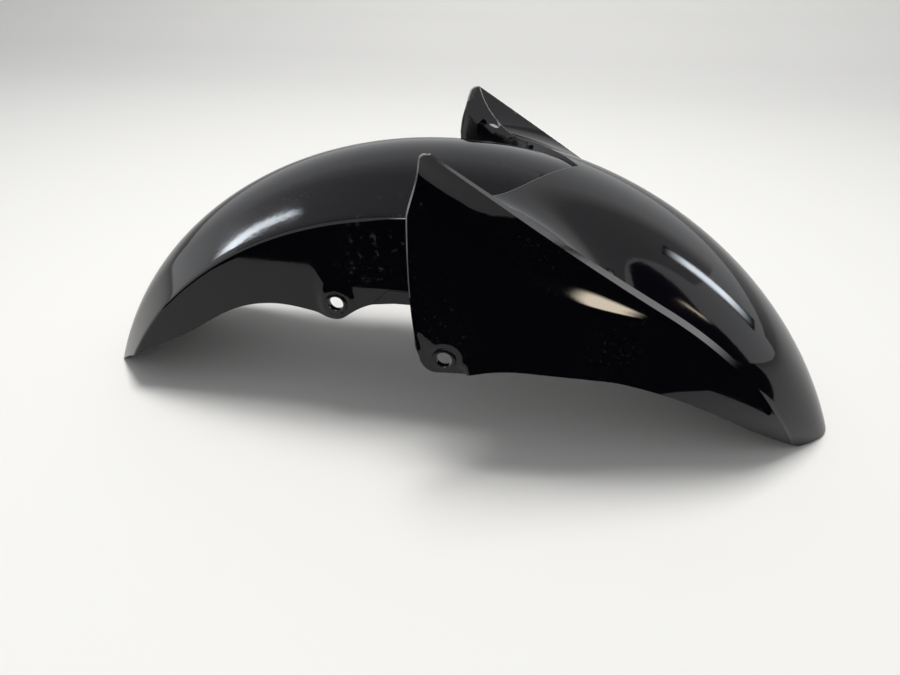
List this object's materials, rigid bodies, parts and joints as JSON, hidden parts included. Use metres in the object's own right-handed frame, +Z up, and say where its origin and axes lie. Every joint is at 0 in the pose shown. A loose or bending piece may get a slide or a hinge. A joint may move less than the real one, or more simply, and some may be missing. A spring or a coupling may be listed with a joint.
{
  "type": "motorcycle front mudguard",
  "caption": "Moulded front mudguard for a motorcycle: a gloss black arched shell with a raised cap, side fins ahead of the fork legs and bolt holes on each side.",
  "frame": {"origin": "middle of the footprint, on the floor it stands on", "axes": "+X forward to the nose, +Y to the rider's left, +Z up"},
  "size_m": [0.607, 0.2262, 0.2274],
  "materials": {
    "shell": "gloss black"
  },
  "bodies": {
    "root": {"mudguard": "shell"}
  },
  "joints": []
}
